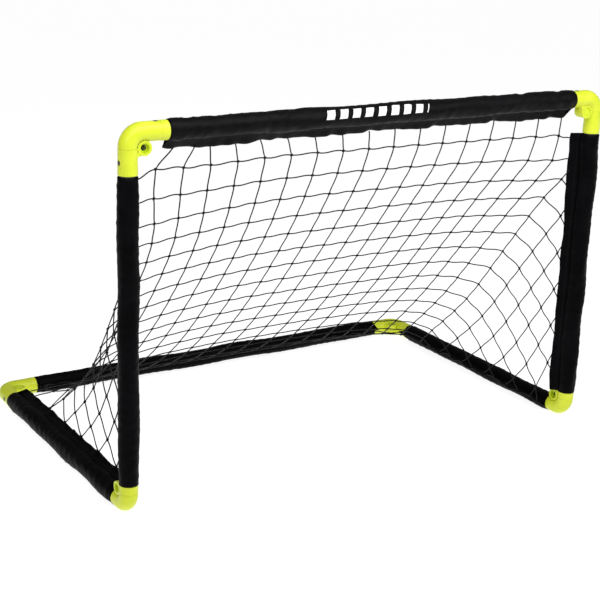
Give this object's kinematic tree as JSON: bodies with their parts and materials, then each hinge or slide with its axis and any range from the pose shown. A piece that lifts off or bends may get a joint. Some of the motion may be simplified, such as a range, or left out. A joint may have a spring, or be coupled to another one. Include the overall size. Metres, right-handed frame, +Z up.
{
  "type": "portable folding goal with net",
  "caption": "Portable folding goal with a knotted black net, fabric-sleeved tubes and bright yellow elbow joints; the base frame folds up to the front frame.",
  "frame": {"origin": "centre of the bounding box on the floor", "axes": "+X along the goal mouth, -Y the front of the goal, +Z up"},
  "size_m": [0.9, 0.57, 0.6],
  "materials": {
    "tube_steel": "black powder coat",
    "elbow_plastic": "smooth moulded fluorescent yellow, satin",
    "pin_plastic": "smooth moulded fluorescent yellow, satin",
    "button_plastic": "smooth moulded fluorescent yellow, satin",
    "spring_steel": "bright drawn wire",
    "screw_black": "black oxide",
    "sleeve_fabric": "black woven polyester with a slight sheen",
    "net_twine": "black knotted polyethylene twine"
  },
  "bodies": {
    "front_frame": {"crossbar_tube": "tube_steel", "left_post_tube": "tube_steel", "right_post_tube": "tube_steel", "top_left_elbow_socket": "elbow_plastic", "top_left_elbow_bend": "elbow_plastic", "top_right_elbow_socket": "elbow_plastic", "top_right_elbow_bend": "elbow_plastic", "foot_left_elbow_socket": "elbow_plastic", "foot_right_elbow_socket": "elbow_plastic", "top_left_hinge_pin": "pin_plastic", "top_right_hinge_pin": "pin_plastic", "top_left_spring": "spring_steel", "top_right_spring": "spring_steel", "front_spring_seats": "pin_plastic", "front_tube_screws": "screw_black", "crossbar_sleeve": "sleeve_fabric", "left_post_sleeve": "sleeve_fabric", "right_post_sleeve": "sleeve_fabric", "net": "net_twine"},
    "base_frame": {"left_rail_tube": "tube_steel", "right_rail_tube": "tube_steel", "rear_bar_tube": "tube_steel", "foot_left_elbow_bend": "elbow_plastic", "foot_right_elbow_bend": "elbow_plastic", "rear_left_elbow_socket": "elbow_plastic", "rear_left_elbow_bend": "elbow_plastic", "rear_right_elbow_socket": "elbow_plastic", "rear_right_elbow_bend": "elbow_plastic", "foot_left_hinge_pin": "pin_plastic", "foot_right_hinge_pin": "pin_plastic", "rear_left_hinge_pin": "pin_plastic", "rear_right_hinge_pin": "pin_plastic", "foot_left_spring": "spring_steel", "foot_right_spring": "spring_steel", "rear_left_spring": "spring_steel", "rear_right_spring": "spring_steel", "base_spring_seats": "pin_plastic", "base_tube_screws": "screw_black", "left_rail_sleeve": "sleeve_fabric", "right_rail_sleeve": "sleeve_fabric", "rear_bar_sleeve": "sleeve_fabric"},
    "top_left_button": {"top_left_button": "button_plastic"},
    "top_right_button": {"top_right_button": "button_plastic"},
    "foot_left_button": {"foot_left_button": "button_plastic"},
    "foot_right_button": {"foot_right_button": "button_plastic"},
    "rear_left_button": {"rear_left_button": "button_plastic"},
    "rear_right_button": {"rear_right_button": "button_plastic"}
  },
  "joints": [
    {"name": "base_fold", "type": "hinge", "parent": "front_frame", "child": "base_frame", "pos_m": [0, -0.2477, 0.0373], "axis": [1, 0, 0], "range_deg": [0, 90], "deforming": ["net"]},
    {"name": "top_left_button_press", "type": "slide", "parent": "front_frame", "child": "top_left_button", "axis": [0, -1, 0], "range_m": [0, 0.004], "stiffness_N_per_m": 600, "springref_m": -0.002, "deforming": ["top_left_spring"]},
    {"name": "top_right_button_press", "type": "slide", "parent": "front_frame", "child": "top_right_button", "axis": [0, 1, 0], "range_m": [0, 0.004], "stiffness_N_per_m": 600, "springref_m": -0.002, "deforming": ["top_right_spring"]},
    {"name": "foot_left_button_press", "type": "slide", "parent": "base_frame", "child": "foot_left_button", "axis": [-1, 0, 0], "range_m": [0, 0.004], "stiffness_N_per_m": 600, "springref_m": -0.002, "deforming": ["foot_left_spring"]},
    {"name": "foot_right_button_press", "type": "slide", "parent": "base_frame", "child": "foot_right_button", "axis": [-1, 0, 0], "range_m": [0, 0.004], "stiffness_N_per_m": 600, "springref_m": -0.002, "deforming": ["foot_right_spring"]},
    {"name": "rear_left_button_press", "type": "slide", "parent": "base_frame", "child": "rear_left_button", "axis": [0, 0, -1], "range_m": [0, 0.004], "stiffness_N_per_m": 600, "springref_m": -0.002, "deforming": ["rear_left_spring"]},
    {"name": "rear_right_button_press", "type": "slide", "parent": "base_frame", "child": "rear_right_button", "axis": [0, 0, 1], "range_m": [0, 0.004], "stiffness_N_per_m": 600, "springref_m": -0.002, "deforming": ["rear_right_spring"]}
  ]
}
